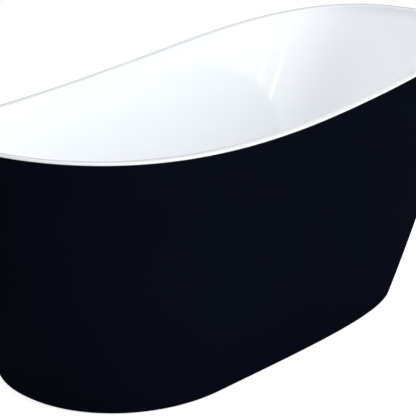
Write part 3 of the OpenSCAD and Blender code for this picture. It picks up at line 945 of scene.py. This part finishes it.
def plug():
    """Domed cap and the seal under it."""
    low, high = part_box("plug_cap")
    wide, neck = (high.x - low.x) / 2, 0.010
    rim_z = WASTE_Z + 0.001
    dome = [(wide * math.cos(a), rim_z + 0.001 + (high.z - rim_z - 0.001) * math.sin(a))
            for a in np.radians(np.linspace(0, 90, 25))]
    edge = [(0, low.z), (neck, low.z), (neck, rim_z),
            (wide - 0.0008, rim_z), (wide - 0.0002, rim_z + 0.0004)]
    make("plug_dome", [place(lathe(edge + dome, 96), AT_WASTE)], "plug", ["plug_cap"], "chrome")
    low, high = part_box("plug_seal")
    wide = (high.x - low.x) / 2
    seal = turned([(neck, low.z), (0.0225, low.z), (wide, WASTE_Z + 0.0001),
                   (wide, high.z), (neck, high.z)], 0.0004, 96)
    make("plug_lip_seal", [place(seal, AT_WASTE)], "plug", ["plug_seal"], "rubber")


def outlet():
    """Outlet pipe that hangs from the waste body, and its nut with twelve grips."""
    low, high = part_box("outlet_tail")
    outer, shoulder = (high.x - low.x) / 2, 0.054
    bore, spigot = outer - 0.0024, outer - 0.0005
    pipe = turned([(bore, low.z), (outer, low.z), (outer, shoulder),
                   (spigot, shoulder), (spigot, high.z), (bore, high.z)], 0.0006, 96)
    make("outlet_pipe", [place(pipe, AT_WASTE)], "tub", ["outlet_tail"], "white_plastic")
    low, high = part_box("outlet_nut")
    nut = hexagon((high.x - low.x) / 2, low.z, high.z, 0.0248, 96)
    inner, start = spigot + 0.0003, low.z + 0.0004
    collar = turned([(inner, start), (0.025, start), (0.025, low.z + 0.006), (inner, low.z + 0.006)],
                    0.0005, 96)
    grip = block((0.0265, -0.0012, low.z + 0.002), (0.0285, 0.0012, high.z - 0.002), 0.0008)
    grips = [spun(grip, k * math.pi / 6) for k in range(12)]
    make("outlet_slip_nut", placed((nut, collar, *grips), AT_WASTE), "tub", ["outlet_nut"],
         "white_plastic", 30)


def at_overflow(shape):
    return place(shape, OVERFLOW, OUTWARD, DOWN)


def socket(start, end):
    """Short branch along Z that takes the overflow pipe, with a bead before its nut."""
    bore, taken, depth = 0.010, 0.01205, 0.016
    tube = turned([(bore, start), (BRANCH_R, start), (BRANCH_R, end), (taken, end),
                   (taken, end - depth), (bore, end - depth)], 0.0006)
    middle, inner, outer = start + 0.0045, BRANCH_R - 0.0005, BRANCH_R + 0.0015
    collar = turned([(inner, middle - 0.0015), (outer, middle - 0.0008), (outer, middle + 0.0008),
                     (inner, middle + 0.0015)], 0.0005)
    return [tube, collar]


def stiffeners(inner, outer, low, high, angles):
    """Thin upright ribs round Z at these angles."""
    rib = block((inner, -0.001, low), (outer, 0.001, high), 0.0004)
    return [spun(rib, math.radians(a)) for a in angles]


def tee():
    """Waste body: a chamber clamped under the floor, with a branch for the overflow pipe."""
    low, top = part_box("waste_tee")[0].z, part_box("waste_tee")[1].z
    neck, chamber, seat, flange = 0.0245, 0.026, 0.029, 0.036
    thread, bore, throat, spigot = 0.02405, 0.022, 0.0175, 0.01955
    waist, thick = 0.082, 0.004               # height of the neck's top; the flange's thickness
    outside = [(neck, low), (neck, waist), (chamber, waist + 0.008), (chamber, top - 0.014),
               (seat, top - 0.012), (seat, top - thick), (flange, top - thick), (flange, top)]
    inside = [(thread, top), (thread, top - 0.010), (bore, top - 0.010), (bore, waist + 0.010),
              (throat, waist), (throat, waist - 0.002), (spigot, waist - 0.002), (spigot, low)]
    body = turned(outside + inside, 0.0008, 96)
    ribs = stiffeners(chamber - 0.0005, seat - 0.0005, waist + 0.010, top - 0.012, range(30, 360, 60))
    branch = placed(socket(0.0235, BRANCH_END), (0, 0, PIPE_Z), (-1, 0, 0), (0, 0, 1))
    make("waste_body", placed((body, *ribs, *branch), AT_WASTE), "tub", ["waste_tee"], "white_plastic")


def elbow():
    """Cap behind the overflow, with a branch down to the pipe."""
    face, back, wall = -0.010, -0.040, 0.003
    cup, flange, bore = 0.027, 0.032, 0.02205
    cap = turned([(0, back), (cup, back), (cup, face - wall), (flange, face - wall), (flange, face),
                  (bore, face), (bore, back + wall), (0, back + wall)], 0.0012, 96)
    ribs = stiffeners(cup - 0.0005, flange - 0.002, back + 0.004, face - 0.002, range(45, 360, 45))
    branch = placed(socket(0.0245, ELBOW_REACH), (0, 0, -PIPE_DEPTH), (1, 0, 0), (0, 0, 1))
    parts = [at_overflow(part) for part in (cap, *ribs, *branch)]
    make("overflow_back", parts, "tub", ["overflow_elbow"], "white_plastic")


def pipe_nuts():
    """Compression nut at each end of the overflow pipe."""
    seat, thick, pull = 0.005, 0.016, 0.0003
    bore, outer = 0.0123, BRANCH_R + 0.0004
    nut = [hexagon(0.019, 0, thick, BRANCH_R + 0.0001),
           turned([(bore, pull), (outer, pull), (outer, seat), (bore, seat)], 0.0005)]
    upper = placed(nut, (ELBOW_REACH + seat, 0, -PIPE_DEPTH), (-1, 0, 0), (0, 0, 1))
    upper = [at_overflow(part) for part in upper]
    lower = placed(nut, (WASTE_X - BRANCH_END - seat, 0, PIPE_Z), (1, 0, 0), (0, 0, 1))
    make("overflow_slip_nuts", upper + lower, "tub", ["overflow_pipe_nuts"], "white_plastic", 30)


def overflow():
    """Chrome disc over the overflow hole, with a slot, and the tail behind it."""
    bore, tail, disc = 0.018, 0.022, 0.032
    back, front = -0.024, 0.005
    plate = turned([(0, 0), (bore, 0), (bore, back), (tail, back), (tail, OVERFLOW_PROUD),
                    (disc, OVERFLOW_PROUD), (disc, front - 0.0015), (disc - 0.0015, front),
                    (0, front)], 0.0012, 128)
    piece = make("overflow_face", [at_overflow(plate)], "tub", ["overflow_trim"], "chrome", 30)
    near, far, half = 0.0001, 0.008, 0.017    # near is just off the disc's middle line
    slot = soften([(near, -half), (far, -half), (far, half), (near, half)], 0.0036, steps=8)
    cut(piece, at_overflow(prism(slot, -0.005, 0.012)), 30)


def pipe_route():
    """Overflow pipe: down behind the wall, round one bend, then level to the tee."""
    start, end = 0.031, BRANCH_END - 0.022
    first = OVERFLOW - OUTWARD * PIPE_DEPTH
    run = (first.z - PIPE_Z) / -DOWN.z
    corner = first + DOWN * run
    turn = math.acos(DOWN.x)
    cut_back = BEND_R * math.tan(turn / 2)
    centre = Vector((corner.x + cut_back, 0, PIPE_Z + BEND_R))
    arc = [centre + BEND_R * Vector((math.sin(a), 0, -math.cos(a))) for a in np.linspace(-turn, 0, 60)]
    line = [first + DOWN * s for s in np.linspace(start, run - cut_back, 160)][:-1]
    level_end = Vector((WASTE_X - end, 0, PIPE_Z))
    level = [arc[-1].lerp(level_end, s) for s in np.linspace(0, 1, 60)[1:]]
    return np.array(line + arc + level)


def ribbed_pipe():
    """Corrugated overflow pipe with plain ends inside its nuts."""
    path = pipe_route()
    steps = np.linalg.norm(np.diff(path, axis=0), axis=1)
    travelled = np.concatenate([[0], np.cumsum(steps)])
    spacing, cuff, rib_pitch, depth = 0.0009, 0.030, 0.0045, 0.0009
    where = np.arange(0, travelled[-1], spacing)
    even = np.column_stack([np.interp(where, travelled, path[:, k]) for k in range(3)])
    ribbed = np.minimum(where, travelled[-1] - where) > cuff
    wave = np.sin(where / rib_pitch * 2 * math.pi)
    radii = 0.012 - np.where(ribbed, depth - depth * np.clip(wave * 1.6, -1, 1), 0.0001)
    pipe = sweep(even, radii, (0, 1, 0))
    make("overflow_ribbed_pipe", [pipe], "tub", ["overflow_pipe"], "white_plastic", 60)


def carried_over():
    """Better materials for the CAD nodes that stay in view."""
    for part in frame["record"]["subparts"]:
        for slot in frame["nodes"][part["node"]].material_slots:
            slot.material = FINISHES[part["material_slot"]]


# ---- studio ----

VIEW_AZIMUTH, VIEW_ELEVATION = math.radians(-47.80), math.radians(18.565)
VIEW_DISTANCE = 3.696
AIM = Vector((0, 0, 0.3))
LENS = 121.42
SHIFT = (-0.0417, 0.0016)


def camera():
    made = add("camera", bpy.data.cameras.new("camera"))
    flat = math.cos(VIEW_ELEVATION)
    away = Vector((math.sin(VIEW_AZIMUTH) * flat, -math.cos(VIEW_AZIMUTH) * flat, math.sin(VIEW_ELEVATION)))
    made.location = AIM + away * VIEW_DISTANCE
    made.rotation_euler = (-away).to_track_quat("-Z", "Y").to_euler()
    made.data.lens = LENS
    made.data.shift_x, made.data.shift_y = SHIFT
    bpy.context.scene.camera = made


def lamp(name, place_at, aim, size, radiance, mirrored_only=False):
    """Rectangular softbox of the given brightness, or one that shows only in reflections."""
    data = bpy.data.lights.new(name, "AREA")
    data.shape = "RECTANGLE"
    data.size, data.size_y = size
    data.energy = radiance * math.pi * size[0] * size[1]
    made = add(name, data)
    made.location = place_at
    made.rotation_euler = (Vector(aim) - Vector(place_at)).to_track_quat("-Z", "Y").to_euler()
    made.visible_camera = False
    made.visible_diffuse = not mirrored_only


def lights():
    """Two narrow lamps that leave streaks on the inner wall, and one under the tub."""
    aim = (0.5, 0.25, 0.55)
    lamp("streak", (1.07, -3.6, 2.9), aim, (0.09, 3.4), 5.5, mirrored_only=True)
    lamp("wedge", (1.67, -3.55, 2.55), aim, (0.20, 1.3), 3.8, mirrored_only=True)
    middle = sum(BASE_ENDS) / 2
    size = (0.85 * (BASE_ENDS[1] - BASE_ENDS[0]), 0.65 * BASE_WIDTH)
    lamp("under", (middle, 0, 0.001), (middle, 0, 1), size, 1.0)      # for looks from below


AMBIENT = 0.05
SOFTBOXES = (                                 # azimuth from +X, elevation, radiance
    (-75, 15, 2.6), (-165, 45, 0.55), (-30, 45, 0.65), (60, 45, 0.4), (120, 45, 1.3))
SPREAD = 4                                    # a higher power makes narrower softboxes


def softbox(tree, where, azimuth, elevation):
    """Brightness of a wide softbox in that direction, 1 at its middle."""
    a, e = math.radians(azimuth), math.radians(elevation)
    facing, clipped = tree.nodes.new("ShaderNodeVectorMath"), tree.nodes.new("ShaderNodeClamp")
    narrowed = tree.nodes.new("ShaderNodeMath")
    facing.operation, narrowed.operation = "DOT_PRODUCT", "POWER"
    middle = (math.cos(a) * math.cos(e), math.sin(a) * math.cos(e), math.sin(e))
    facing.inputs[1].default_value = middle
    narrowed.inputs[1].default_value = SPREAD
    tree.links.new(where, facing.inputs[0])
    tree.links.new(facing.outputs["Value"], clipped.inputs["Value"])
    tree.links.new(clipped.outputs["Result"], narrowed.inputs[0])
    return narrowed.outputs["Value"]


def room(tree):
    """Brightness of the dim room and its softboxes in every direction."""
    where = tree.nodes.new("ShaderNodeTexCoord").outputs["Generated"]
    level = None
    for azimuth, elevation, radiance in SOFTBOXES:
        added = tree.nodes.new("ShaderNodeMath")
        added.operation = "MULTIPLY_ADD"
        added.inputs[1].default_value = radiance
        added.inputs[2].default_value = AMBIENT
        tree.links.new(softbox(tree, where, azimuth, elevation), added.inputs[0])
        if level is not None:
            tree.links.new(level, added.inputs[2])
        level = added.outputs["Value"]
    return level


def world():
    """White to the camera, and the room to everything else."""
    made = bpy.data.worlds.new("studio")
    made.use_nodes = True
    nodes, links = made.node_tree.nodes, made.node_tree.links
    nodes.clear()
    glow, white = nodes.new("ShaderNodeBackground"), nodes.new("ShaderNodeBackground")
    glow.inputs["Color"].default_value = (0.97, 0.985, 1.0, 1)
    white.inputs["Color"].default_value = (1, 1, 1, 1)
    path, mix = nodes.new("ShaderNodeLightPath"), nodes.new("ShaderNodeMixShader")
    links.new(room(made.node_tree), glow.inputs["Strength"])
    links.new(path.outputs["Is Camera Ray"], mix.inputs[0])
    links.new(glow.outputs[0], mix.inputs[1])
    links.new(white.outputs[0], mix.inputs[2])
    links.new(mix.outputs[0], nodes.new("ShaderNodeOutputWorld").inputs["Surface"])
    bpy.context.scene.world = made


FLOOR_REACH = 4.0
FADE = (1.3, 3.6)                             # distances between which the floor fades into the backdrop
FLOOR_GLOW = 0.62                             # lifts the floor to white for the camera only


def floor_finish():
    """Pale, a little cloudy, and clear far away and from below."""
    finish = Finish("floor", Roughness=0.9)
    finish.shader.inputs["Emission Color"].default_value = (1, 1, 1, 1)
    finish.colour(finish.noise(30, 4), (0.80, 0.80, 0.80), (0.83, 0.83, 0.83))
    seen = finish.node("ShaderNodeLightPath").outputs["Is Camera Ray"]
    finish.feed(finish.shader.inputs["Emission Strength"], finish.spread(seen, 0, FLOOR_GLOW, 0, 1))
    distance = finish.node("ShaderNodeVectorMath", operation="LENGTH")
    finish.feed(distance.inputs[0], finish.where)
    clear = finish.spread(distance.outputs["Value"], 0, 1, *FADE)
    facing = finish.node("ShaderNodeNewGeometry").outputs["Backfacing"]
    either = finish.node("ShaderNodeMath", operation="MAXIMUM")
    finish.feed(either.inputs[0], clear)
    finish.feed(either.inputs[1], facing)
    mix, glass = finish.node("ShaderNodeMixShader"), finish.node("ShaderNodeBsdfTransparent")
    finish.feed(mix.inputs[0], either.outputs[0])
    finish.feed(mix.inputs[1], finish.shader.outputs[0])
    finish.feed(mix.inputs[2], glass.outputs[0])
    finish.feed(finish.tree.nodes["Material Output"].inputs["Surface"], mix.outputs[0])
    return finish.material


def floor():
    mesh = bpy.data.meshes.new("floor")
    corners = [(x * FLOOR_REACH, y * FLOOR_REACH, 0) for x, y in ((-1, -1), (1, -1), (1, 1), (-1, 1))]
    mesh.from_pydata(corners, [], [(0, 1, 2, 3)])
    mesh.materials.append(floor_finish())
    made = add("floor", mesh)
    made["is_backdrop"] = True


for build in (
        carried_over, basin, skirt, bond_line, timber_ring, base_board, packing_blocks, rails,
        cross_bars, end_plates, rail_end_caps, frame_screws, foot_nuts, brackets, bracket_fasteners,
        feet, waste, plug, outlet, tee, overflow, elbow, pipe_nuts, ribbed_pipe,
        camera, lights, world, floor):
    build()
bpy.context.scene.view_settings.view_transform = "Standard"

[[list(corner) for corner in box] for box in (cad_box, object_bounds())]
